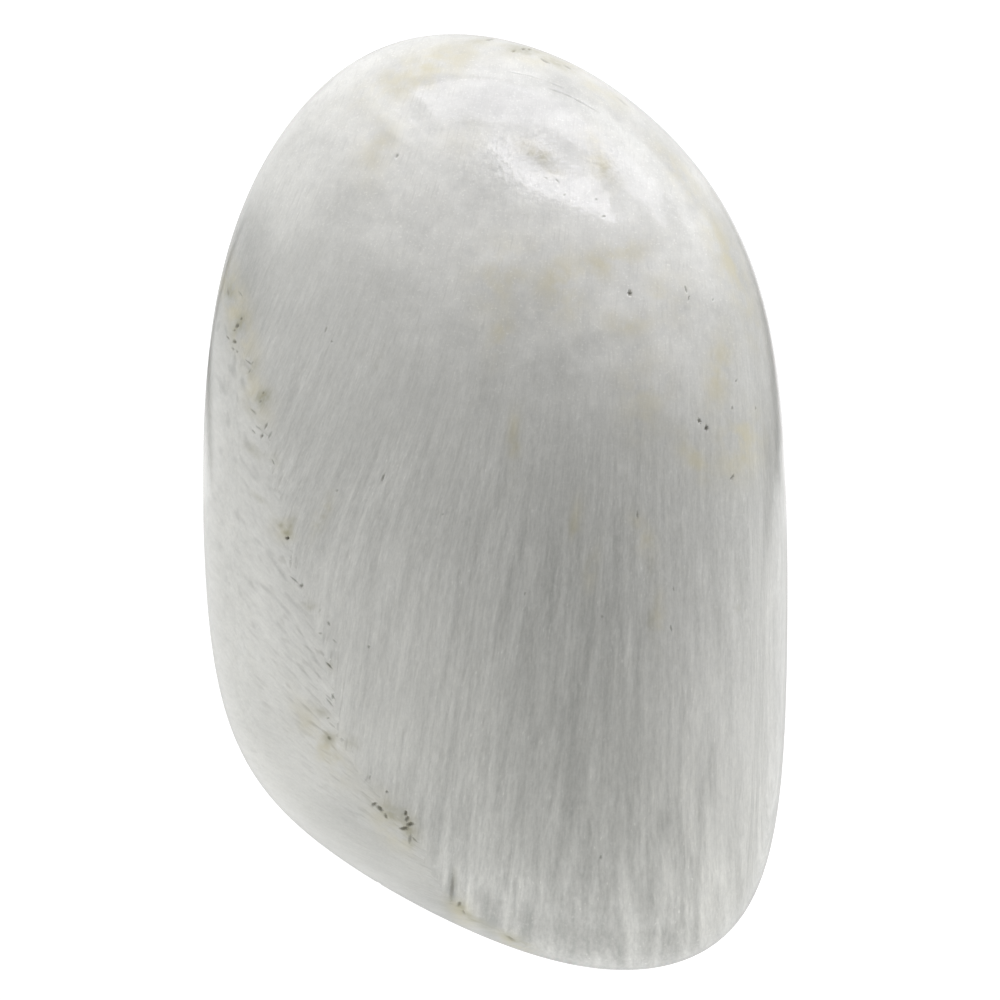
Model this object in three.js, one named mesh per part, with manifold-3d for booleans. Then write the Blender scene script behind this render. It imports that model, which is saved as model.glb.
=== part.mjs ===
// A palm stone of scolecite: one pebble of white, fibrous rock, ground to shape by hand and tumbled to a soft
// polish. It lies on its broad back. Millimetres, +Z up. The origin is under the middle of the stone, on the
// surface it rests on. +Y points to the domed end, +X to the straighter long side.

import Module from "manifold-3d";
import * as THREE from "three";
import { mergeVertices } from "three/addons/utils/BufferGeometryUtils.js";

const wasm = await Module();
wasm.setup();

// Driving dimensions of the finished stone
const LENGTH = 66;
const WIDTH = 41.2;
const THICKNESS = 27.5;

// The outline, as the grinder made it: an oval pebble held to the wheel at eleven places round its edge. Each
// place has a direction in degrees, counted from +X towards +Y, and its distance from the middle.
const OVAL_X = 36;
const OVAL_Y = 46;
const GROUND_PLACES = [
  { direction: 0, distance: 21 },
  { direction: 30, distance: 26.5 },
  { direction: 60, distance: 32 },
  { direction: 100, distance: 36 },
  { direction: 150, distance: 27.5 },
  { direction: 181, distance: 21 },
  { direction: 210, distance: 28 },
  { direction: 240, distance: 28 },
  { direction: 265, distance: 37 },
  { direction: 295, distance: 40 },
  { direction: 325, distance: 37.5 },
];

// How sharply the ground places meet: a high power leaves narrow corners, 2 would blur them into an ellipse
const CORNER_POWER = 8;

// The pillow section, from the widest line up to the crest and down to the back
const RISE_ABOVE = 15;
const DEPTH_BELOW = 13;
const PILLOW_POWER = 2.2;

// The crest lies off the middle, and the domed end is the thicker one
const CREST_SHIFT_X = 5;
const CREST_SHIFT_Y = -2;
const DOME_THICKENING = 0.08;

// The small worn flat that it rests on is this deep into the rounded back
const FLAT_DEPTH = 0.5;

// The ball of triangles that is pressed into the shape: 20 * (BALL_DETAIL + 1) ** 2 of them
const BALL_DETAIL = 15;

// Distance from the middle at which the outline lies, as a share of the point's own distance
function outlineShare(x, y) {
  const oval = ((x / OVAL_X) ** 2 + (y / OVAL_Y) ** 2) ** (CORNER_POWER / 2);
  const ground = GROUND_PLACES.reduce((sum, place) => {
    const angle = THREE.MathUtils.degToRad(place.direction);
    const reach = x * Math.cos(angle) + y * Math.sin(angle);
    return sum + Math.max(0, reach / place.distance) ** CORNER_POWER;
  }, 0);
  return (oval + ground) ** (1 / CORNER_POWER);
}

// The point of the rough stone that lies in the given direction from its middle
function roughPoint(direction) {
  const side = outlineShare(direction.x, direction.y);
  const height = Math.abs(direction.z) / (direction.z > 0 ? RISE_ABOVE : DEPTH_BELOW);
  const share = (side ** PILLOW_POWER + height ** PILLOW_POWER) ** (1 / PILLOW_POWER);
  const point = direction.clone().divideScalar(share);
  const rise = Math.max(0, point.z) / RISE_ABOVE;
  point.z *= 1 + DOME_THICKENING * point.y / (LENGTH / 2);
  point.x += CREST_SHIFT_X * rise ** 2;
  point.y += CREST_SHIFT_Y * rise ** 2;
  return point;
}

// The rough stone: a ball pressed into the rounded shape and trimmed to its finished size, its back below
// z = 0 by the depth of the resting flat
function roundedStone() {
  const ball = bare(new THREE.IcosahedronGeometry(1, BALL_DETAIL));
  const position = ball.attributes.position;
  const direction = new THREE.Vector3();
  for (let i = 0; i < position.count; i += 1) {
    direction.fromBufferAttribute(position, i).normalize();
    position.setXYZ(i, ...roughPoint(direction));
  }
  ball.computeBoundingBox();
  const rough = ball.boundingBox.getSize(new THREE.Vector3());
  const middle = ball.boundingBox.getCenter(new THREE.Vector3());
  ball.translate(-middle.x, -middle.y, -ball.boundingBox.min.z);
  ball.scale(WIDTH / rough.x, LENGTH / rough.y, (THICKNESS + FLAT_DEPTH) / rough.z);
  ball.translate(0, 0, -FLAT_DEPTH);
  return ball;
}

// The same shape with only its corner points, shared between the triangles that meet there
function bare(geometry) {
  geometry.deleteAttribute("normal");
  geometry.deleteAttribute("uv");
  return mergeVertices(geometry);
}

function solid(geometry) {
  const vertProperties = geometry.attributes.position.array;
  const triVerts = Uint32Array.from(geometry.index.array);
  return new wasm.Manifold(new wasm.Mesh({ numProp: 3, vertProperties, triVerts }));
}

// The finished stone: everything below z = 0 is worn away, which leaves the flat
function stoneGeometry() {
  const below = new THREE.BoxGeometry(2 * WIDTH, 2 * LENGTH, THICKNESS);
  below.translate(0, 0, -THICKNESS / 2);
  const worn = solid(roundedStone()).subtract(solid(bare(below))).getMesh();
  const geometry = new THREE.BufferGeometry();
  geometry.setAttribute("position", new THREE.BufferAttribute(worn.vertProperties, worn.numProp));
  geometry.setIndex(new THREE.BufferAttribute(worn.triVerts, 1));
  geometry.computeVertexNormals();
  return geometry;
}

const scolecite = new THREE.MeshStandardMaterial({ color: 0xc9c8c2, roughness: 0.3, metalness: 0 });

const stone = new THREE.Mesh(stoneGeometry(), scolecite);
stone.name = "palm_stone";

const group = new THREE.Group();
group.add(stone);

export default group;
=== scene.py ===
import math

import bmesh
import bpy
import numpy as np
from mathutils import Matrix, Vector


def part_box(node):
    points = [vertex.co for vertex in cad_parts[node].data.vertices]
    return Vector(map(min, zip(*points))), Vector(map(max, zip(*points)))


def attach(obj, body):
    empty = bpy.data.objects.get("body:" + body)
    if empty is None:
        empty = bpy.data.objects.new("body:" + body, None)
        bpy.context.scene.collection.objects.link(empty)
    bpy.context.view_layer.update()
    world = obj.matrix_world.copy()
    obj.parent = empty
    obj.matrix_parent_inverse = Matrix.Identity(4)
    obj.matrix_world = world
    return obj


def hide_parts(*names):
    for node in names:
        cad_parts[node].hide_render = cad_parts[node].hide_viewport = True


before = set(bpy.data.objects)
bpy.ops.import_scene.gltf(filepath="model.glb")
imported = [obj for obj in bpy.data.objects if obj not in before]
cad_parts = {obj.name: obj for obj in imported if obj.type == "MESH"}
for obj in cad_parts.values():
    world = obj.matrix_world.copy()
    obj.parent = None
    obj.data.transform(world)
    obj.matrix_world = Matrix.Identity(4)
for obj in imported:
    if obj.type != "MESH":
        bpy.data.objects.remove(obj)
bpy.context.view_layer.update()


# ---- Palm stone ------------------------------------------------------------------------------------------
# One pebble of scolecite, a white rock of fine needles that grew outwards in sprays. It was ground to shape
# on a wheel and tumbled to a soft polish. Two sprays meet in it along an open seam, and it lies on its back.

MM = 0.001
stone_low, stone_high = (np.array(corner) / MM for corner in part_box("palm_stone"))
HALF_LENGTH = (stone_high[1] - stone_low[1]) / 2

# The outline: an oval pebble held to the wheel at eleven places. Each has a direction in degrees, counted
# from +X towards +Y, and a distance from the middle in millimetres.
OVAL = (36, 46)
GROUND_PLACES = [
    (0, 21), (30, 26.5), (60, 32), (100, 36), (150, 27.5), (181, 21),
    (210, 28), (240, 28), (265, 37), (295, 40), (325, 37.5),
]
CORNER_POWER = 8

# The pillow section from the widest line up to the crest and down to the back, and the crest's place off the
# middle. The flat that the stone rests on is this deep into the rounded back.
RISE_ABOVE = 15
DEPTH_BELOW = 13
PILLOW_POWER = 2.2
CREST_SHIFT = (5, -2)
DOME_THICKENING = 0.08
FLAT_DEPTH = 0.5


def rough_points(directions):
    """Points of the rough stone, in millimetres, that lie in the given directions from its middle."""
    x, y, z = directions.T
    share = ((x / OVAL[0]) ** 2 + (y / OVAL[1]) ** 2) ** (CORNER_POWER / 2)
    for direction, distance in GROUND_PLACES:
        angle = math.radians(direction)
        reach = (x * math.cos(angle) + y * math.sin(angle)) / distance
        share = share + np.maximum(0, reach) ** CORNER_POWER
    side = share ** (1 / CORNER_POWER)
    height = np.abs(z) / np.where(z > 0, RISE_ABOVE, DEPTH_BELOW)
    points = directions / ((side ** PILLOW_POWER + height ** PILLOW_POWER) ** (1 / PILLOW_POWER))[:, None]
    rise = np.maximum(0, points[:, 2]) / RISE_ABOVE
    points[:, 2] *= 1 + DOME_THICKENING * points[:, 1] / HALF_LENGTH
    points[:, 0] += CREST_SHIFT[0] * rise ** 2
    points[:, 1] += CREST_SHIFT[1] * rise ** 2
    return points


def directions_of(ball):
    """Unit directions of the ball's corners."""
    corners = np.array([corner.co for corner in ball.verts])
    return corners / np.linalg.norm(corners, axis=1)[:, None]


ball = bmesh.new()
bmesh.ops.create_icosphere(ball, subdivisions=7, radius=1)
rough = rough_points(directions_of(ball))
rough_low, rough_high = rough.min(axis=0), rough.max(axis=0)
trimmed_low = stone_low - (0, 0, FLAT_DEPTH)


def trimmed_points(directions):
    """The rough stone's points, trimmed to the finished size."""
    share = (rough_points(directions) - rough_low) / (rough_high - rough_low)
    return trimmed_low + share * (stone_high - trimmed_low)


# The seam between the two sprays, from the left rim down to the lower end, as x for each y
SEAM_Y = [-34, -30.8, -28.4, -22.7, -21.3, -16.8, -11.1, -5.5, -2.3, 5.8, 12.1, 14.9, 17.7, 34]
SEAM_X = [7, 1.8, -2.8, -6.1, -7.7, -10.6, -11.6, -13.7, -14.6, -16.2, -17.9, -18.8, -19.2, -22]

# The stone is widest at this height. Below it the seam leans left, by this share of the depth, and this far
# in all over most of the back.
WIDEST_Z = 12.9
SEAM_LEAN = 0.35
BACK_SEAM_SHIFT = SEAM_LEAN * WIDEST_Z * 0.8


def seam_distance(points):
    """Millimetres that a point lies beyond the seam: above 0 in the main spray, below 0 in the side one."""
    behind = np.minimum(0, points[:, 2] - WIDEST_Z) * SEAM_LEAN
    return points[:, 0] - np.interp(points[:, 1], SEAM_Y, SEAM_X) - behind


# Pits where a needle or a grain fell out: x, y, half length, half width, direction of the long side, depth,
# and how full of dirt (0 to 1). All lengths are in millimetres and all directions in degrees.
SEAM_PITS = [
    (-18.7, 14.7, 0.30, 0.08, 100, 0.05, 0.3),
    (-18.0, 12.3, 0.17, 0.13, 60, 0.08, 0.8),
    (-17.7, 12.8, 0.12, 0.07, 65, 0.05, 0.6),
    (-18.2, 12.0, 0.10, 0.07, 60, 0.05, 0.5),
    (-18.2, 11.2, 0.17, 0.14, 130, 0.08, 0.8),
    (-18.7, 11.5, 0.20, 0.08, 130, 0.05, 0.6),
    (-18.3, 10.7, 0.14, 0.08, 135, 0.05, 0.5),
    (-18.0, 10.5, 0.12, 0.07, 120, 0.05, 0.4),
    (-16.9, 9.7, 0.12, 0.05, 62, 0.04, 0.4),
    (-17.1, 9.1, 0.16, 0.06, 62, 0.04, 0.4),
    (-16.1, 7.6, 0.13, 0.06, 62, 0.04, 0.4),
    (-16.3, 7.0, 0.13, 0.07, 62, 0.04, 0.4),
    (-16.8, 6.3, 0.30, 0.06, 135, 0.05, 0.4),
    (-15.9, 5.3, 0.25, 0.07, 64, 0.06, 0.5),
    (-16.2, 4.6, 0.16, 0.09, 60, 0.07, 0.6),
    (-16.8, 4.9, 0.20, 0.05, 130, 0.05, 0.4),
    (-15.4, 2.8, 0.25, 0.06, 115, 0.04, 0.3),
    (-14.4, -2.5, 0.13, 0.11, 90, 0.15, 1.0),
    (-13.9, -5.4, 0.40, 0.06, 140, 0.05, 0.4),
    (-13.4, -5.8, 0.15, 0.10, 70, 0.08, 0.5),
    (-11.5, -8.4, 0.18, 0.09, 120, 0.06, 0.4),
    (-12.1, -9.1, 0.15, 0.07, 0, 0.05, 0.35),
    (-11.1, -9.6, 0.20, 0.05, 135, 0.04, 0.3),
    (-11.5, -11.3, 0.33, 0.07, 133, 0.07, 0.6),
    (-11.2, -13.5, 0.25, 0.06, 120, 0.04, 0.3),
    (-11.6, -15.0, 0.10, 0.08, 0, 0.05, 0.4),
    (-11.5, -16.4, 0.20, 0.10, 130, 0.05, 0.4),
    (-8.7, -19.1, 0.20, 0.06, 75, 0.05, 0.4),
    (-7.5, -20.1, 0.10, 0.09, 0, 0.08, 0.6),
    (-8.4, -21.0, 0.22, 0.13, 20, 0.08, 0.9),
    (-8.0, -21.3, 0.30, 0.13, 135, 0.10, 0.9),
    (-7.6, -21.8, 0.20, 0.10, 110, 0.08, 0.6),
    (-6.2, -21.6, 0.20, 0.12, 100, 0.12, 0.9),
    (-6.1, -22.0, 0.20, 0.14, 70, 0.12, 0.8),
    (-5.9, -22.4, 0.28, 0.15, 10, 0.12, 0.9),
    (-6.3, -22.7, 0.32, 0.12, 5, 0.12, 0.9),
    (-5.9, -23.4, 0.35, 0.13, 80, 0.07, 0.6),
    (-3.0, -26.9, 1.1, 0.16, 86, 0.07, 0.55),
    (-2.5, -28.1, 0.22, 0.14, 60, 0.10, 0.6),
    (-2.2, -28.7, 0.20, 0.08, 120, 0.07, 0.5),
    (1.1, -30.6, 0.40, 0.08, 150, 0.06, 0.5),
]
FACE_PITS = [
    (2.0, 31.8, 0.16, 0.10, 0, 0.08, 0.7),
    (2.4, 31.8, 0.14, 0.09, 20, 0.08, 0.8),
    (1.3, 31.6, 0.16, 0.09, 20, 0.06, 0.5),
    (-0.4, 32.5, 0.40, 0.10, 15, 0.06, 0.5),
    (3.5, 30.9, 0.40, 0.09, 150, 0.06, 0.5),
    (5.1, 30.5, 0.35, 0.08, 150, 0.05, 0.4),
    (1.6, 29.9, 0.65, 0.05, 168, 0.04, 0.30),
    (2.6, 29.7, 0.80, 0.06, 164, 0.04, 0.30),
    (4.3, 29.1, 0.70, 0.06, 158, 0.04, 0.30),
    (4.2, 28.7, 0.70, 0.06, 160, 0.05, 0.30),
    (5.0, 28.4, 0.80, 0.06, 156, 0.05, 0.35),
    (5.9, 27.95, 0.85, 0.06, 152, 0.05, 0.35),
    (6.7, 27.5, 0.65, 0.05, 150, 0.04, 0.30),
    (8.95, 28.1, 0.60, 0.09, 139, 0.04, 0.20),
    (3.5, 22.4, 0.16, 0.04, 165, 0.04, 0.15),
    (4.3, 22.2, 0.20, 0.05, 140, 0.04, 0.20),
    (4.8, 21.2, 0.10, 0.06, 20, 0.04, 0.15),
    (7.0, 20.9, 0.08, 0.06, 30, 0.04, 0.15),
    (7.5, 19.7, 0.14, 0.05, 20, 0.04, 0.20),
    (9.3, 14.4, 0.20, 0.15, 100, 0.14, 0.8),
    (13.2, 14.7, 0.30, 0.07, 105, 0.06, 0.5),
    (13.4, 14.1, 0.20, 0.08, 80, 0.06, 0.5),
    (15.1, 14.0, 0.12, 0.06, 90, 0.05, 0.4),
    (-6.8, 24.0, 0.20, 0.08, 60, 0.08, 0.6),
    (16.4, 1.7, 0.25, 0.09, 55, 0.08, 0.5),
    (16.4, 6.5, 0.15, 0.06, 90, 0.05, 0.3),
    (18.1, 6.5, 0.12, 0.05, 90, 0.05, 0.3),
    (16.7, 8.4, 0.12, 0.08, 60, 0.05, 0.5),
    (-7.7, 1.7, 0.30, 0.07, 72, 0.08, 0.6),
    (-10.9, 0.8, 0.12, 0.07, 60, 0.05, 0.3),
    (-11.7, 11.9, 0.25, 0.06, 65, 0.05, 0.3),
    (-11.3, 11.1, 0.11, 0.07, 150, 0.05, 0.4),
    (9.8, -0.9, 0.28, 0.07, 90, 0.07, 0.5),
    (12.3, -6.0, 0.15, 0.06, 100, 0.05, 0.4),
    (14.1, 5.6, 0.20, 0.12, 100, 0.10, 0.7),
    (14.6, 5.1, 0.20, 0.14, 90, 0.14, 0.8),
]

# Smaller flaws of the same kinds, scattered along the seam and over both faces: 1 is the upper face, -1 the
# back. At the seam they follow the needles of one spray or the other.
FLAW_SEED = 47
SPRAY_SLANTS = [66, 134]
AT_SEAM = ((8, 1, 0.4), (60, -1, 0.8))
ELSEWHERE = ((6, 1), (40, -1))
flaws = np.random.default_rng(FLAW_SEED)
pits = [(*pit, 1) for pit in SEAM_PITS + FACE_PITS]
for how_many, face, dirtiest in AT_SEAM:
    for y in flaws.uniform(-28, 16, how_many):
        at_seam = np.interp(y, SEAM_Y, SEAM_X) - (BACK_SEAM_SHIFT if face < 0 else 0)
        slant = flaws.choice(SPRAY_SLANTS) + flaws.normal(0, 6)
        dirt = flaws.uniform(0.1, dirtiest)
        x = at_seam + flaws.normal(0, 0.6)
        pits.append((x, y, flaws.uniform(0.15, 0.4), 0.06, slant, 0.05, dirt, face))
for how_many, face in ELSEWHERE:
    for _ in range(how_many):
        size = flaws.uniform(0.05, 0.09)
        slant = 80 + flaws.normal(0, 10)
        x = flaws.uniform(-14, 18)
        y = flaws.uniform(-28, 28)
        length = size * flaws.uniform(1, 3)
        pits.append((x, y, length, size, slant, size, flaws.uniform(0.1, 0.5), face))

# Where iron and clay tinted the rock: x, y, half length, half width, direction of the long side, strength.
# The smears are small and olive, the clouds wide and cream.
SMEARS = [
    (-18.6, 14.8, 0.8, 0.40, 100, 0.9),
    (-17.9, 12.4, 0.7, 0.40, 65, 0.9),
    (-16.9, 9.2, 0.9, 0.35, 65, 0.5),
    (-16.1, 7.2, 0.7, 0.50, 60, 0.85),
    (-17.0, 6.4, 0.7, 0.30, 140, 0.4),
    (-16.8, 3.6, 0.8, 0.25, 140, 0.5),
    (-15.3, 2.9, 0.5, 0.30, 120, 0.4),
    (-16.5, 0.4, 0.8, 0.12, 135, 0.5),
    (-14.9, -1.7, 0.5, 0.16, 130, 0.8),
    (-14.1, -1.6, 0.5, 0.18, 75, 0.8),
    (-14.4, -2.2, 0.4, 0.35, 90, 0.8),
    (-12.0, -1.4, 1.0, 0.22, 65, 0.5),
    (-12.8, -7.2, 0.5, 0.25, 0, 0.5),
    (-11.4, -11.4, 0.4, 0.25, 130, 0.4),
    (-12.1, -14.6, 0.7, 0.35, 150, 0.5),
    (-11.5, -16.4, 0.5, 0.40, 130, 0.6),
    (-10.0, -16.6, 0.6, 0.25, 130, 0.5),
    (-6.9, -21.7, 1.1, 0.6, 150, 0.75),
    (-5.9, -22.6, 0.7, 0.5, 80, 0.85),
    (-5.7, -23.6, 0.6, 0.25, 80, 0.6),
    (-5.3, -25.0, 0.6, 0.15, 110, 0.3),
    (-2.8, -26.0, 0.8, 0.2, 90, 0.3),
    (-2.4, -28.3, 0.5, 0.4, 90, 0.6),
    (-1.5, -29.2, 1.2, 0.3, 150, 0.7),
    (1.1, -30.6, 0.9, 0.3, 155, 0.7),
    (2.0, 31.7, 1.4, 0.4, 172, 0.7),
    (-1.0, 32.4, 1.2, 0.3, 10, 0.4),
    (4.4, 30.8, 1.8, 0.35, 155, 0.6),
    (3.0, 23.9, 1.2, 0.40, 145, 0.7),
    (7.6, 23.3, 0.9, 0.35, 120, 0.3),
    (-8.1, 9.8, 0.7, 0.14, 65, 0.3),
    (1.3, 4.2, 0.9, 0.22, 88, 0.4),
    (5.4, -1.6, 0.7, 0.2, 80, 0.35),
    (6.3, -4.6, 0.9, 0.25, 78, 0.25),
    (10.7, -4.3, 0.6, 0.15, 90, 0.4),
    (10.7, -8.2, 0.9, 0.14, 90, 0.45),
    (16.8, -7.3, 0.25, 0.12, 90, 0.4),
]
CREAM_CLOUDS = [
    (-4.8, 30.2, 4.5, 1.3, 25, 1.0),
    (-8.1, 24.8, 2.5, 1.2, 70, 0.6),
    (3.5, 31.0, 3.5, 0.7, 165, 0.7),
    (7.4, 28.7, 2.2, 0.6, 150, 0.6),
    (3.1, 23.9, 1.5, 0.7, 145, 0.9),
    (7.2, 23.9, 2.0, 0.8, 115, 0.9),
    (-2.1, 25.2, 1.4, 1.2, 0, 0.3),
    (0.7, 15.6, 2.4, 2.0, 60, 0.7),
    (0.4, 11.3, 1.6, 0.7, 75, 0.9),
    (4.6, 14.9, 2.2, 1.8, 90, 0.9),
    (7.8, 16.7, 2.8, 1.1, 20, 0.9),
    (9.2, 12.5, 1.5, 0.9, 0, 0.9),
    (11.8, 14.2, 1.8, 1.6, 90, 0.5),
    (13.0, 22.7, 3.0, 0.7, 125, 0.8),
    (16.2, 16.9, 4.2, 0.9, 112, 0.9),
    (17.9, 12.6, 2.2, 0.7, 105, 0.6),
    (15.5, 9.0, 2.6, 0.9, 80, 0.9),
    (16.9, 4.0, 2.2, 1.5, 75, 1.0),
    (13.8, 3.0, 1.9, 0.8, 125, 0.8),
    (10.2, 7.4, 3.0, 1.7, 95, 0.5),
    (10.2, -2.4, 1.5, 0.6, 110, 0.8),
    (11.3, -8.0, 1.6, 0.4, 90, 0.7),
    (5.6, -1.4, 1.4, 0.4, 85, 0.7),
    (6.7, -4.8, 1.6, 0.4, 80, 0.4),
    (1.3, 4.3, 1.9, 0.4, 88, 0.8),
    (-18.0, 13.2, 4.0, 0.9, 105, 0.9),
    (-16.6, 7.5, 2.0, 0.9, 110, 0.7),
    (-12.0, -0.9, 1.3, 0.4, 65, 0.9),
    (-14.6, -1.8, 0.8, 0.8, 0, 0.9),
    (-12.0, -16.8, 3.2, 1.0, 125, 0.8),
    (-7.1, -22.4, 2.2, 1.1, 125, 0.9),
    (-2.3, -28.9, 1.6, 0.8, 120, 0.9),
    (1.4, -31.0, 1.6, 0.6, 155, 0.8),
]

# Bundles of needles that are paler or greyer than their neighbours: most lie at the lower end, where the
# spray parts into columns. The first is a painted highlight along the ridge of a swell near the domed end.
# x, y, half length, half width, direction of the long side, change of paleness
BUNDLES_AND_PAINTED_HIGHLIGHT = [
    # A painted highlight along the ridge of the swell near the domed end
    (-6.9, 26.1, 1.8, 0.40, 136, 0.35),
    (-3.2, -22.5, 4.0, 0.40, 84, 0.15),
    (-1.0, -21.8, 3.0, 0.40, 85, 0.15),
    (-1.8, -28.4, 1.7, 0.60, 103, 0.24),
    (0.4, -28.6, 2.0, 0.45, 98, 0.18),
    (3.4, -29.6, 2.4, 0.50, 88, 0.15),
    (6.1, -28.2, 4.4, 0.40, 91, 0.18),
    (10.1, -25.2, 1.8, 0.40, 107, 0.14),
    (12.0, -26.1, 2.7, 0.45, 98, 0.18),
    (13.0, -19.9, 1.4, 0.40, 95, 0.12),
    (15.2, -24.0, 3.0, 0.40, 98, 0.12),
    (9.7, -30.3, 2.2, 0.70, 85, 0.12),
    (-3.0, -27.4, 1.6, 0.40, 88, -0.30),
    (-0.5, -28.8, 1.6, 0.40, 100, -0.22),
    (1.2, -27.2, 1.5, 0.40, 98, -0.18),
    (4.7, -29.0, 2.8, 0.45, 90, -0.22),
    (7.1, -31.0, 0.9, 0.50, 90, -0.22),
    (11.0, -18.5, 1.6, 0.35, 90, -0.15),
    (11.6, -22.3, 1.0, 0.40, 90, -0.24),
    (12.8, -24.0, 2.6, 0.50, 100, -0.15),
    (2.9, -16.4, 1.0, 0.40, 85, -0.15),
    (15.0, -17.9, 2.4, 0.40, 88, -0.12),
]

# Wide soft places that are paler or greyer than the rest, partly the rock's own milkiness and partly
# painted sheen and painted shade that even out the light on it: x, y, half width, half height, change of
# paleness
MILKY_AND_PAINTED_LIGHT_PLACES = [
    (-8, -13, 7, 10, 0.18),
    (15, -21, 4, 9, 0.2),
    (-9, 25, 7, 7, 0.1),
    (-6, 26, 5, 3, 0.14),
    (-9, -24, 6, 4, -0.25),
    (18, 5, 3.5, 10, -0.14),
    (0, -14, 4, 6, 0.08),
    (12, -13, 4, 6, 0.08),
    (-17, -10, 2, 4, 0.08),
    (7, 26, 8, 3, -0.15),
    (-3, 28.6, 3.5, 1.8, -0.2),
    (3.5, 28.4, 2.2, 2, -0.1),
    (3, 23.6, 1.3, 0.8, -0.18),
    (-0.5, 25.3, 3.5, 1.3, 0.12),
    (-7.2, 28.6, 1.6, 1.2, 0.08),
    (12.4, 22.4, 1.2, 2.2, -0.16),
    (-0.5, 19, 9, 4.5, 0.2),
    (10, 15.5, 5, 7, 0.14),
    (13, 8, 2.5, 3, 0.08),
    (1, 8, 3, 3, -0.06),
    (-18.5, 16, 2.8, 6, -0.32),
    (-17, 10, 4, 8, -0.1),
    (-14, 3, 3, 5, -0.05),
    (17.5, 16, 2.5, 6, -0.1),
    (-9.5, -20, 3, 2, -0.1),
    (-4, -28, 4, 2, -0.12),
    (15, -26, 3, 4, 0.1),
    (14, -19, 4, 6, 0.05),
    (7, -26, 3, 4, -0.06),
    (13, -32, 3, 2, -0.08),
    (3, -31, 11, 3, -0.22),
    (-1, 32.3, 8, 1.2, -0.1),
]

# Slow hollows and swells that the wheel left: x, y, half length, half width, direction of the long side,
# height
SWELLS = [
    (3.7, 24.3, 2.6, 1.3, 157, -0.10),
    (8.5, 27.0, 3.0, 1.8, 150, -0.05),
    (-7.1, 26.4, 2.6, 0.65, 137, 0.12),
    (13.7, 19.0, 2.2, 1.3, 120, -0.05),
    (4.0, 20.6, 5.0, 1.5, 165, 0.06),
    (-3.0, 10.0, 8.0, 4.0, 60, 0.05),
    (11.0, 2.0, 7.0, 4.0, 100, -0.06),
    (0.0, -12.0, 9.0, 4.0, 80, 0.05),
    (-12.0, -16.0, 5.0, 2.5, 120, -0.05),
]


def along_and_across(points, x, y, length, width, slant):
    """Places along and across a flaw that lies on a face, with 1 at its ends and sides."""
    angle = math.radians(slant)
    along = ((points[:, 0] - x) * math.cos(angle) + (points[:, 1] - y) * math.sin(angle)) / length
    across = ((points[:, 1] - y) * math.cos(angle) - (points[:, 0] - x) * math.sin(angle)) / width
    return along, across


def on_face(points, face):
    """Which points lie on the upper face (1) or on the back (-1), with a millimetre to spare."""
    return (points[:, 2] - WIDEST_Z) * face > -1


# The ball gets finer where the pits are, in three rounds, so that their edges are real edges. Each round has
# a margin round the pit and the longest edge that it leaves there, in millimetres.
ROUNDS = ((0.4, 0.3), (0.2, 0.15), (0.08, 0.08))
for margin, finest in ROUNDS:
    points = trimmed_points(directions_of(ball))
    fine = np.zeros(len(points), bool)
    for x, y, length, width, slant, depth, dirt, face in pits:
        along, across = along_and_across(points, x, y, length + margin, width + margin, slant)
        fine |= (np.hypot(along, across) < 1) & on_face(points, face)
    ball.verts.index_update()
    split = []
    for edge in ball.edges:
        one, other = (corner.index for corner in edge.verts)
        if (fine[one] or fine[other]) and np.linalg.norm(points[one] - points[other]) > finest:
            split.append(edge)
    bmesh.ops.subdivide_edges(ball, edges=split, cuts=1, use_grid_fill=True)
    bmesh.ops.triangulate(ball, faces=ball.faces)

points = trimmed_points(directions_of(ball))
for corner, point in zip(ball.verts, points):
    corner.co = point
ball.normal_update()
normals = np.array([corner.normal for corner in ball.verts])
SPOTS_END = WIDEST_Z - 3
upper = points[:, 2] > SPOTS_END


def soft_spot(x, y, length, width, slant):
    """1 in the middle of an oval spot on the upper side, and fading away over twice its size."""
    along, across = along_and_across(points, x, y, length, width, slant)
    return np.exp(-along ** 2 - across ** 2) * upper


swell = np.zeros(len(points))
for *spot, height in SWELLS:
    swell += height * soft_spot(*spot)

# The pits are ragged at the rim, from two crossed waves that are about 0.16 mm long
RAGGED_WAVES = ((31, 17, 23), (-19, 29, 13))
pit_depth = np.zeros(len(points))
dirty = np.zeros(len(points))
ragged = 1 + 0.3 * np.sin(points @ RAGGED_WAVES[0]) * np.sin(points @ RAGGED_WAVES[1])
for *spot, depth, dirt, face in pits:
    along, across = along_and_across(points, *spot)
    inside = np.clip(1 - (np.hypot(along, across) * ragged) ** 2, 0, 1) * on_face(points, face)
    pit_depth = np.maximum(pit_depth, depth * np.sqrt(inside))
    dirty = np.maximum(dirty, dirt * inside)

finished = points + normals * (swell - pit_depth)[:, None]
finished[:, 2] = np.maximum(finished[:, 2], stone_low[2])
finished = np.clip(finished, stone_low, stone_high)
for corner, point in zip(ball.verts, finished):
    corner.co = point * MM

smeared = np.zeros(len(points))
for *spot, strength in SMEARS:
    smeared = np.maximum(smeared, strength * soft_spot(*spot))
creamy = np.zeros(len(points))
for *spot, strength in CREAM_CLOUDS:
    creamy = np.maximum(creamy, strength * soft_spot(*spot))

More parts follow.
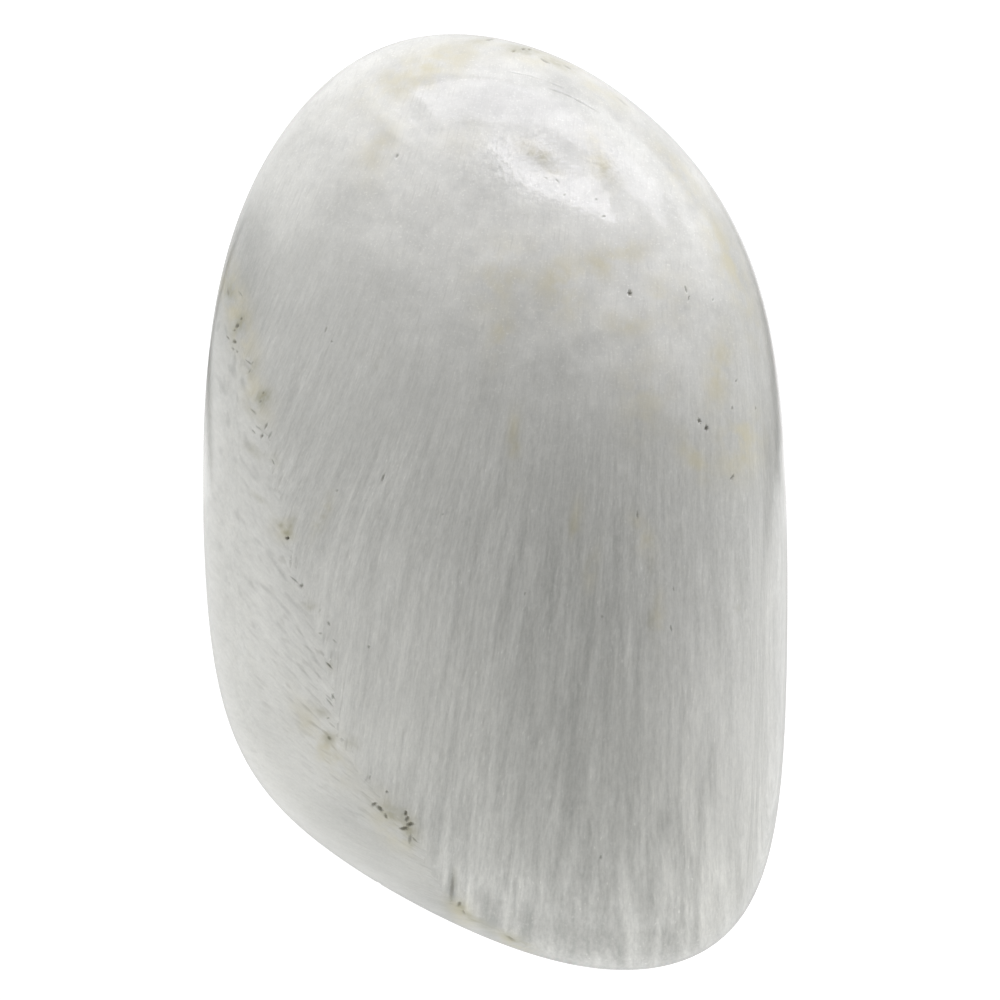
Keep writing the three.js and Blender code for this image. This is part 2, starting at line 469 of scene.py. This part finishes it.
# The main spray runs down the stone and leans left of the middle. Each place is followed along its needle to
# the middle of the stone, which tells how far across the spray that needle is. The lean is how far a needle
# goes sideways in each millimetre: it is largest at the left, the two ends have their own, and the tips at
# the lower end lean a little less. On the side walls the depth under the widest line takes over, and over
# both ends the needles run on down the wall.
TIPS_START = -17
TIPS_FADE = 9
LEAN_CHANGE = 6
STEPS = 24
x, y, z = points.T
across_spray = x.copy()
for step in range(STEPS):
    here = y * (1 - (step + 0.5) / STEPS)
    upper_lean = 0.46 / (1 + np.exp(across_spray / 4.5)) - 0.03
    lower_lean = 0.15 / (1 + np.exp((across_spray - 7) / 2))
    lower_lean -= 0.05 * np.clip((TIPS_START - here) / TIPS_FADE, 0, 1)
    lean = upper_lean + (lower_lean - upper_lean) * np.clip(-here / LEAN_CHANGE, 0, 1)
    across_spray -= lean * y / STEPS
below_widest = WIDEST_Z - z
side_wall = np.clip((normals[:, 0] ** 2 - 0.55) / 0.45, 0, 1)
along_spray = y + below_widest * normals[:, 1]
main_spray = np.stack([across_spray, along_spray, below_widest * side_wall], axis=1)

# The side spray fans up and left from beyond the seam's lower end
SIDE_CENTRE = (4.2, -30.3)
SIDE_REACH = 20
side_angle = np.arctan2(x - SIDE_CENTRE[0], y - SIDE_CENTRE[1])
side_distance = np.hypot(x - SIDE_CENTRE[0], y - SIDE_CENTRE[1])
side_spray = np.stack([side_angle * SIDE_REACH, side_distance, below_widest * 0.5 * side_wall], axis=1)


def patch(x_middle, y_middle, x_size, y_size):
    """1 in the middle of a wide patch, with a flat top and soft edges, and 0 well outside it."""
    return np.exp(-(((x - x_middle) / x_size) ** 2 + ((y - y_middle) / y_size) ** 2) ** 1.5)


# Towards the domed end the needles come out of the surface end on. At the lower end they part into pale
# columns. The side spray is the milkiest, partly a painted sheen where its needles catch the light, and down
# the middle right the needles are clear, and so greyer, with painted shade along the crest there as well.
# Painted shade also darkens the left wall.
seam = seam_distance(points)
side_share = 1 / (1 + np.exp(seam / 0.4))
end_on = np.clip(patch(7, 17, 14, 12) + patch(-2, 28, 18, 13), 0, 1)
tips = np.clip((TIPS_START - y) / TIPS_FADE, 0, 1)
side_on = 1 - end_on
needles_show = side_on * (1 - 0.4 * np.clip((y - 2) / 12, 0, 1) + 0.3 * tips) * (1 - 0.5 * side_share)
needles_show *= 1 - 0.8 * side_share * np.clip((-15 - y) / 6, 0, 1) - 0.2 * patch(16, -5, 5, 15)
gaps_show = side_share * np.exp(-(seam / 4.5) ** 2) * (1 - np.clip((-21 - y) / 4, 0, 1))
columns_show = 0.03 + 0.05 * np.clip((4 - y) / 8, 0, 1) + 0.09 * tips
columns_show *= side_on * (1 - 0.7 * side_share)
# Greyer down the middle right, partly painted shade along the crest
grey_and_shaded_middle = np.exp(-((x - 5.5 - 0.12 * y) / 7) ** 2 - ((y + 8) / 17) ** 2)
# Painted shade on the left wall
painted_left_wall_shade = side_wall * (x < 0) * patch(-20, 8, 6, 14)
side_end = side_share * np.clip((-26 - y) / 2, 0, 1)
# How milky each place is, with a painted sheen and painted shade mixed in
milkiness_and_painted_light = 0.14 * side_share + 0.12 * end_on - 0.17 * grey_and_shaded_middle - 0.12 * painted_left_wall_shade - 0.25 * side_end
for *spot, change in MILKY_AND_PAINTED_LIGHT_PLACES:
    milkiness_and_painted_light += change * patch(*spot)
for *spot, change in BUNDLES_AND_PAINTED_HIGHLIGHT:
    milkiness_and_painted_light += change * soft_spot(*spot)
pitted = np.clip(patch(1.9, 25.0, 2.2, 1.1) + 0.6 * patch(-0.5, 23.8, 2.2, 1.6) + patch(7.6, 23.6, 1.5, 1.1)
                 + 0.5 * patch(3.5, 21.5, 4.5, 2), 0, 1) * upper
beside_seam = side_share * np.exp(-(seam / 4) ** 2 - ((y + 13) / 8) ** 2)
dashes_show = 1 + 2 * np.exp(-(seam / 0.7) ** 2) + 2.4 * beside_seam

mesh = bpy.data.meshes.new("scolecite_palm_stone")
ball.to_mesh(mesh)
ball.free()
mesh.shade_smooth()
for name, values in (("main_spray", main_spray), ("side_spray", side_spray)):
    mesh.attributes.new(name, "FLOAT_VECTOR", "POINT").data.foreach_set("vector", values.ravel())
surface = {"seam": seam, "end_on": end_on, "milkiness_and_painted_light": milkiness_and_painted_light, "needles_show": needles_show,
           "columns_show": columns_show, "gaps_show": gaps_show, "dashes_show": dashes_show,
           "pitted": pitted, "dirty": dirty, "smeared": smeared, "creamy": creamy}
for name, values in surface.items():
    mesh.attributes.new(name, "FLOAT", "POINT").data.foreach_set("value", values)
stone = bpy.data.objects.new("scolecite_palm_stone", mesh)
bpy.context.scene.collection.objects.link(stone)


def colour(hexcode):
    """An sRGB hex value as linear red, green, blue and alpha."""
    parts = [int(hexcode[i:i + 2], 16) / 255 for i in (1, 3, 5)]
    return (*(part / 12.92 if part <= 0.04045 else ((part + 0.055) / 1.055) ** 2.4 for part in parts), 1)


def add_node(tree, kind, sockets, out=0, **settings):
    """Adds a node with its settings, fills its inputs with values or links, and gives one of its outputs."""
    made = tree.nodes.new(kind)
    for name, value in settings.items():
        setattr(made, name, value)
    for name, value in sockets.items():
        if isinstance(value, bpy.types.NodeSocket):
            tree.links.new(value, made.inputs[name])
        else:
            made.inputs[name].default_value = value
    return made.outputs[out]


# Scolecite, ground and polished: a milky white that light enters a little way, silky along the needles, with
# a soft gloss and no clear mirror. Where the needles end at the surface it is cloudy, and clay has tinted it
# cream.
PALE = "#f0f0ea"
GREY = "#a2a39e"
CREAM = "#c6bf9d"
OLIVE = "#8b8868"
SHADE = "#8b8a80"
DIRT = "#5c5a46"

scolecite = bpy.data.materials.new("scolecite, ground and polished")
scolecite.use_nodes = True
tree = scolecite.node_tree
shader = tree.nodes["Principled BSDF"]
shader.inputs["IOR"].default_value = 1.518
shader.inputs["Subsurface Weight"].default_value = 0.3
shader.inputs["Subsurface Radius"].default_value = (1.0, 0.95, 0.85)
shader.inputs["Subsurface Scale"].default_value = 0.6 * MM
shader.inputs["Coat Weight"].default_value = 0.6
shader.inputs["Coat Roughness"].default_value = 0.05
shader.inputs["Coat IOR"].default_value = 1.5

spray = {name: add_node(tree, "ShaderNodeAttribute", {}, out="Vector", attribute_name=name)
         for name in ("main_spray", "side_spray")}
place = {name: add_node(tree, "ShaderNodeAttribute", {}, out="Fac", attribute_name=name) for name in surface}
where = add_node(tree, "ShaderNodeTexCoord", {}, out="Object")

# Rounded grains and clouds, each with its size in millimetres and its detail
GRAINS = (
    ("clouds", 3.0, 3.0), ("mottle", 0.8, 2.0), ("pebbles", 0.35, 2.0), ("grit", 0.16, 1.0),
    ("clay", 1.6, 4.0),
)
pattern = {}
for name, size, detail in GRAINS:
    pattern[name] = add_node(tree, "ShaderNodeTexNoise",
                             {"Vector": where, "Scale": 1 / (size * MM), "Detail": detail})

# The two sprays interlock at the seam, so its line is ragged by half a millimetre
ragged_seam = add_node(tree, "ShaderNodeMath", {0: pattern["mottle"], 1: 2.4, 2: place["seam"]},
                       operation="MULTIPLY_ADD")
in_main = add_node(tree, "ShaderNodeMath", {0: ragged_seam, 1: 1.2}, operation="GREATER_THAN")
needles = add_node(tree, "ShaderNodeMix", {0: in_main, 4: spray["side_spray"], 5: spray["main_spray"]}, out=1,
                   data_type="VECTOR")

# Streaks along the needles, each with its width and length in millimetres and its detail. The needles are
# 0.05 to 0.1 mm wide, too fine to show, so the finest streaks are drawn about twice as wide.
STREAKS = (
    ("fine", 0.13, 0.6, 1.0), ("medium", 0.3, 1.8, 1.0), ("long", 0.5, 6.0, 1.0), ("columns", 0.9, 10.0, 3.0),
    ("flecks", 0.13, 0.35, 0.0), ("dashes", 0.2, 1.1, 0.0), ("gaps", 0.35, 2.2, 1.0),
)
for name, width, length, detail in STREAKS:
    drawn_out = add_node(tree, "ShaderNodeVectorMath", {0: needles, 1: (1 / width, 1 / length, 1 / width)},
                         operation="MULTIPLY")
    pattern[name] = add_node(tree, "ShaderNodeTexNoise",
                             {"Vector": drawn_out, "Scale": 1.0, "Detail": detail, "Roughness": 0.6})

# How pale each place is: 0 is grey, 0.5 the usual, 1 white. Each pattern's middle range, from its start to
# its end, becomes a change of paleness from low to high, and counts where it shows. The needles show in
# patches.
patchy = add_node(tree, "ShaderNodeMapRange", {"Value": pattern["clouds"], "From Min": 0.35,
                                               "From Max": 0.65, "To Min": 0.2, "To Max": 1.0})
patches = add_node(tree, "ShaderNodeMath", {0: patchy, 1: place["needles_show"]}, operation="MULTIPLY")
CHANGES = (
    ("fine", 0.3, 0.7, 0.39, 0.45, 1.0),
    ("fine", 0.3, 0.7, -0.04, 0.04, place["needles_show"]),
    ("medium", 0.32, 0.68, -0.075, 0.075, patches),
    ("long", 0.35, 0.65, -0.07, 0.05, place["needles_show"]),
    ("columns", 0.35, 0.65, -0.8, 1.2, place["columns_show"]),
    ("flecks", 0.7, 0.82, 0.0, 0.2, patches),
    ("gaps", 0.55, 0.75, 0.0, -0.3, place["gaps_show"]),
    # In the pitted place by the highlight: pale and dark specks, partly grain and partly painted glints
    ("pebbles", 0.3, 0.7, -0.15, 0.15, place["pitted"]),
    ("clouds", 0.3, 0.7, -0.09, 0.09, place["end_on"]),
    ("mottle", 0.3, 0.7, -0.06, 0.06, place["end_on"]),
    ("grit", 0.25, 0.75, -0.04, 0.04, 1.0),
    ("grit", 0.64, 0.76, 0.0, 0.2, place["end_on"]),
    ("clouds", 0.3, 0.7, -0.03, 0.03, 1.0),
)
paleness = place["milkiness_and_painted_light"]
for name, start, end, low, high, shown in CHANGES:
    change = add_node(tree, "ShaderNodeMapRange", {"Value": pattern[name], "From Min": start, "From Max": end,
                                                   "To Min": low, "To Max": high})
    paleness = add_node(tree, "ShaderNodeMath", {0: change, 1: shown, 2: paleness},
                        operation="MULTIPLY_ADD")
body = add_node(tree, "ShaderNodeMix", {0: paleness, 6: colour(GREY), 7: colour(PALE)}, out=2,
                data_type="RGBA")

# Short darker dashes between the needles: a few all over, more in the side spray and most along the seam
dashes = add_node(tree, "ShaderNodeMapRange", {"Value": pattern["dashes"], "From Min": 0.6,
                                               "From Max": 0.76, "To Min": 0.0, "To Max": 0.12})
dashes = add_node(tree, "ShaderNodeMath", {0: dashes, 1: place["dashes_show"]}, operation="MULTIPLY")
dashes = add_node(tree, "ShaderNodeMath", {0: dashes, 1: patchy}, operation="MULTIPLY")

# Clay and iron, each in ragged patches
ragged_clay = add_node(tree, "ShaderNodeMapRange", {"Value": pattern["clay"], "From Min": 0.38,
                                                    "From Max": 0.62, "To Min": 0.05, "To Max": 0.7})
clay = add_node(tree, "ShaderNodeMath", {0: ragged_clay, 1: place["creamy"]}, operation="MULTIPLY")
ragged_iron = add_node(tree, "ShaderNodeMapRange", {"Value": pattern["mottle"], "From Min": 0.3,
                                                    "From Max": 0.65, "To Min": 0.3, "To Max": 1.0})
iron = add_node(tree, "ShaderNodeMath", {0: ragged_iron, 1: place["smeared"]}, operation="MULTIPLY")
for share, tint in ((dashes, SHADE), (clay, CREAM), (iron, OLIVE), (place["dirty"], DIRT)):
    body = add_node(tree, "ShaderNodeMix", {0: share, 6: body, 7: colour(tint)}, out=2, data_type="RGBA")
tree.links.new(body, shader.inputs["Base Color"])

# Under the gloss of the polish the ground surface is duller, most of all on the clay and in the pits
GROUND_ROUGHNESS = 0.36
roughness = add_node(tree, "ShaderNodeMath", {0: clay, 1: 0.3, 2: GROUND_ROUGHNESS}, operation="MULTIPLY_ADD")
roughness = add_node(tree, "ShaderNodeMath", {0: place["dirty"], 1: 0.4, 2: roughness},
                     operation="MULTIPLY_ADD")
tree.links.new(roughness, shader.inputs["Roughness"])

# Slow waves and a faint pebbling, which make the edges of every reflection ragged. It is coarser in the
# pitted places.
RELIEF_HEIGHT = 0.03 * MM
pebbling = add_node(tree, "ShaderNodeMath", {0: place["pitted"], 1: 0.6, 2: 0.25}, operation="MULTIPLY_ADD")
relief = 0.0
for name, share in (("clouds", 1.5), ("mottle", 0.4), ("pebbles", pebbling)):
    relief = add_node(tree, "ShaderNodeMath", {0: pattern[name], 1: share, 2: relief},
                      operation="MULTIPLY_ADD")
bump = add_node(tree, "ShaderNodeBump", {"Strength": 1.0, "Distance": RELIEF_HEIGHT, "Height": relief})
tree.links.new(bump, shader.inputs["Normal"])
tree.links.new(bump, shader.inputs["Coat Normal"])

mesh.materials.append(scolecite)
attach(stone, "root")
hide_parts("palm_stone")


# ---- Table, light and camera -----------------------------------------------------------------------------
# A white matt table under the stone, a window beyond its domed end, a pale tent all round, and a camera that
# looks straight down. Distances are in metres where nothing else is said.

floor_mesh = bpy.data.meshes.new("white_table")
HALF_TABLE = 0.6
floor_mesh.from_pydata(
    [(-HALF_TABLE, -HALF_TABLE, 0), (HALF_TABLE, -HALF_TABLE, 0), (HALF_TABLE, HALF_TABLE, 0),
     (-HALF_TABLE, HALF_TABLE, 0)], [], [(0, 1, 2, 3)])
floor = bpy.data.objects.new("white_table", floor_mesh)
bpy.context.scene.collection.objects.link(floor)
table_white = bpy.data.materials.new("table, matt white")
table_white.use_nodes = True
table_shader = table_white.node_tree.nodes["Principled BSDF"]
table_shader.inputs["Base Color"].default_value = colour("#a0a0a0")
table_shader.inputs["Roughness"].default_value = 0.9
table_shader.inputs["Specular IOR Level"].default_value = 0.2
table_shader.inputs["Emission Color"].default_value = colour("#ffffff")
table_shader.inputs["Emission Strength"].default_value = 0.85
floor_mesh.materials.append(table_white)

# The window stands upright beyond the domed end, a little to the right. A bar parts a wide lower pane from a
# narrower upper one. Each pane has its direction and width, its sill and its top, and its power.
WINDOW_DISTANCE = 0.55
WINDOW_LIGHT = (1.0, 0.985, 1.05)
PANES = {
    "lower_pane": (77, 0.70, 0.01, 0.25, 1.9),
    "upper_pane": (73, 0.34, 0.32, 0.52, 1.2),
}
for name, (direction, width, sill, top, power) in PANES.items():
    pane_data = bpy.data.lights.new(name, "AREA")
    pane_data.shape = "RECTANGLE"
    pane_data.size = width
    pane_data.size_y = top - sill
    pane_data.energy = power
    pane_data.color = WINDOW_LIGHT
    pane = bpy.data.objects.new(name, pane_data)
    outward = Vector((math.cos(math.radians(direction)), math.sin(math.radians(direction)), 0))
    pane.location = outward * WINDOW_DISTANCE + Vector((0, 0, (sill + top) / 2))
    pane.rotation_euler = (-outward).to_track_quat("-Z", "Z").to_euler()
    bpy.context.scene.collection.objects.link(pane)

# A painted reflection of the table round the stone: a ring that glows though it is no lamp and that only the
# polish sees, brighter the whiter the table looks. Three painted shades darken it: the stone's own, close to
# the rim; a narrow one that draws the dark lines along both rims; and a far one at the right. At both sides
# the table is a little brighter. Angles are in degrees from +X towards +Y, and distances in millimetres
# beyond the rim.
RING_WIDTH = 44
RING_HEIGHT = 0.5
OWN_SHADE_REACH = 8
LINE_HALF_WIDTH = 2.6
FAR_SHADE_END = 35
DARKEST = 0.98
ring_angles = np.arange(-180, 181, 2)
ring_steps = np.linspace(0, 1, 19) ** 1.5 * RING_WIDTH
ring_corners = []
ring_glow = []
for angle in ring_angles:
    outward = np.array([math.cos(math.radians(angle)), math.sin(math.radians(angle)), 0])
    rim = trimmed_points(outward[None])[0] * (1, 1, 0)
    right = np.clip((angle + 6) / 4, 0, 1) * np.clip((62 - angle) / 20, 0, 1)
    left = np.clip((angle - 165) / 6, 0, 1) * np.clip((182 - angle) / 4, 0, 1)
    own_shade = (0.25 + 0.25 * max(0, -math.sin(math.radians(angle)))) * (1 - right)
    far_start = max(4, 24 - 1.2 * (angle + 4))
    far_shade = (0.45 + 0.4 * np.clip((14 - angle) / 8, 0, 1)) * right
    near_right = 0.5 * right * np.clip((angle - 2) / 5, 0, 1)
    # The right line comes closer towards the domed end, and the left one is closest at 155 degrees
    turned = angle % 360
    if turned < 90:
        line = 4 + 7 * math.exp(-max(0, turned - 9) / 20)
        line_shade = 0.75 * np.clip((turned - 2) / 3, 0, 1) * np.clip((60 - turned) / 45, 0, 1)
    else:
        line = 4.5 + 0.45 * abs(turned - 155)
        line_shade = np.clip((turned - 136) / 6, 0, 1) * np.clip((181 - turned) / 7, 0, 1)
        line_shade *= 1 - 0.35 * math.exp(-((turned - 152) / 4) ** 2)
    for beyond in ring_steps:
        ring_corners.append((rim + outward * beyond) * MM)
        shade = own_shade * math.exp(-(beyond / OWN_SHADE_REACH) ** 2)
        shade += line_shade * math.exp(-((beyond - line) / LINE_HALF_WIDTH) ** 2)
        far_end = 1 + math.exp((beyond - FAR_SHADE_END) / 1.5)
        shade += far_shade / (1 + math.exp(far_start - beyond)) / far_end
        brighter = 1 + near_right * math.exp(-(beyond / 4) ** 2)
        brighter += 0.35 * left / (1 + math.exp((beyond - 28) / 3))
        ring_glow.append(brighter * (1 - min(DARKEST, shade)))
row = len(ring_steps)
quads = [(a * row + b, (a + 1) * row + b, (a + 1) * row + b + 1, a * row + b + 1)
         for a in range(len(ring_angles) - 1) for b in range(row - 1)]
ring_mesh = bpy.data.meshes.new("shaded_table")
ring_mesh.from_pydata([(corner[0], corner[1], RING_HEIGHT * MM) for corner in ring_corners], [], quads)
ring_mesh.attributes.new("glow", "FLOAT", "POINT").data.foreach_set("value", ring_glow)

# Beyond it a painted reflection of the window's light on the table: a glowing sheet, no lamp, one corner of
# which comes close to the stone. Its corners are in millimetres.
SUNLIT = [(26, 40), (60, 60), (330, 250), (120, 520), (-170, 520), (-60, 170), (50, 170)]
SUNLIT_HEIGHT = 0.4
SUNLIT_GLOW = 2.6
patch_mesh = bpy.data.meshes.new("sunlit_table")
patch_mesh.from_pydata([(across * MM, along * MM, SUNLIT_HEIGHT * MM) for across, along in SUNLIT], [],
                       [tuple(range(len(SUNLIT)))])
patch_mesh.attributes.new("glow", "FLOAT", "POINT").data.foreach_set("value", [SUNLIT_GLOW] * len(SUNLIT))

lit_table = bpy.data.materials.new("painted reflection of the table, matt")
lit_table.use_nodes = True
lit_shader = lit_table.node_tree.nodes["Principled BSDF"]
lit_shader.inputs["Base Color"].default_value = colour("#000000")
lit_shader.inputs["Specular IOR Level"].default_value = 0.0
lit_shader.inputs["Emission Color"].default_value = colour("#ffffff")
table_glow = add_node(lit_table.node_tree, "ShaderNodeAttribute", {}, out="Fac", attribute_name="glow")
lit_table.node_tree.links.new(table_glow, lit_shader.inputs["Emission Strength"])
# Both sheets glow though they are no lamps, and only the polish sees them: painted reflections of the table
for seen_mesh in (ring_mesh, patch_mesh):
    seen_mesh.materials.append(lit_table)
    seen = bpy.data.objects.new(seen_mesh.name, seen_mesh)
    for sight in ("camera", "diffuse", "shadow", "transmission", "volume_scatter"):
        setattr(seen, "visible_" + sight, False)
    bpy.context.scene.collection.objects.link(seen)

# The tent round the table: bright low down, more so on the left and at the lower end, and dark overhead
world = bpy.data.worlds.new("light tent")
bpy.context.scene.world = world
world.use_nodes = True
tent = world.node_tree
TENT_SLOPE = (-0.22, -0.58, 0)
TENT_STRENGTH = 1.35
towards = add_node(tent, "ShaderNodeTexCoord", {}, out="Generated")
upwards = add_node(tent, "ShaderNodeSeparateXYZ", {0: towards}, out="Z")
low_down = add_node(tent, "ShaderNodeMapRange",
                    {"Value": upwards, "From Min": 0.1, "From Max": 1.0, "To Min": 1.0, "To Max": 0.0})
sideways = add_node(tent, "ShaderNodeVectorMath", {0: towards, 1: TENT_SLOPE}, out="Value",
                    operation="DOT_PRODUCT")
sides = add_node(tent, "ShaderNodeMath", {0: sideways, 1: TENT_STRENGTH}, operation="ADD")
tent_glow = add_node(tent, "ShaderNodeMath", {0: sides, 1: low_down}, operation="MULTIPLY")
tent.nodes["Background"].inputs["Color"].default_value = colour("#ffffff")
tent.links.new(tent_glow, tent.nodes["Background"].inputs["Strength"])

# The stone fills this share of the frame's height, and the camera stands this far off the middle
STONE_SHARE = 0.936
OFF_MIDDLE = (0.35, 0.14)
FRAME_HEIGHT = 2 * HALF_LENGTH * MM / STONE_SHARE
camera_data = bpy.data.cameras.new("camera")
camera_data.lens = 300
camera = bpy.data.objects.new("camera", camera_data)
camera_distance = FRAME_HEIGHT * camera_data.lens / camera_data.sensor_width
camera.location = (OFF_MIDDLE[0] * MM, OFF_MIDDLE[1] * MM, camera_distance + WIDEST_Z * MM)
bpy.context.scene.collection.objects.link(camera)
bpy.context.scene.camera = camera
bpy.context.scene.view_settings.view_transform = "Standard"
